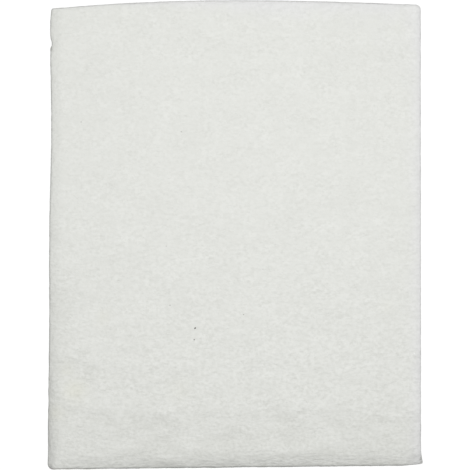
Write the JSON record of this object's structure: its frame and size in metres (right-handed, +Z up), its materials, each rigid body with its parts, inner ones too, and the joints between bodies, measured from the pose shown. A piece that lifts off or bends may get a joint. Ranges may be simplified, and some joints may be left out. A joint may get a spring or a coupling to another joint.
{
  "type": "ceramic fiber sheet",
  "caption": "Flat rectangular sheet of white needled ceramic fibre insulation blanket, with soft hand-cut edges.",
  "frame": {"origin": "middle of the underside's box, on the surface that the sheet rests on", "axes": "+X across the sheet, +Y along it from the near end to the bowed far end, +Z up through its thickness"},
  "size_m": [0.307, 0.3854, 0.013],
  "materials": {
    "ceramic_fiber_felt": "matte"
  },
  "bodies": {
    "root": {"fiber_sheet": "ceramic_fiber_felt"}
  },
  "joints": []
}
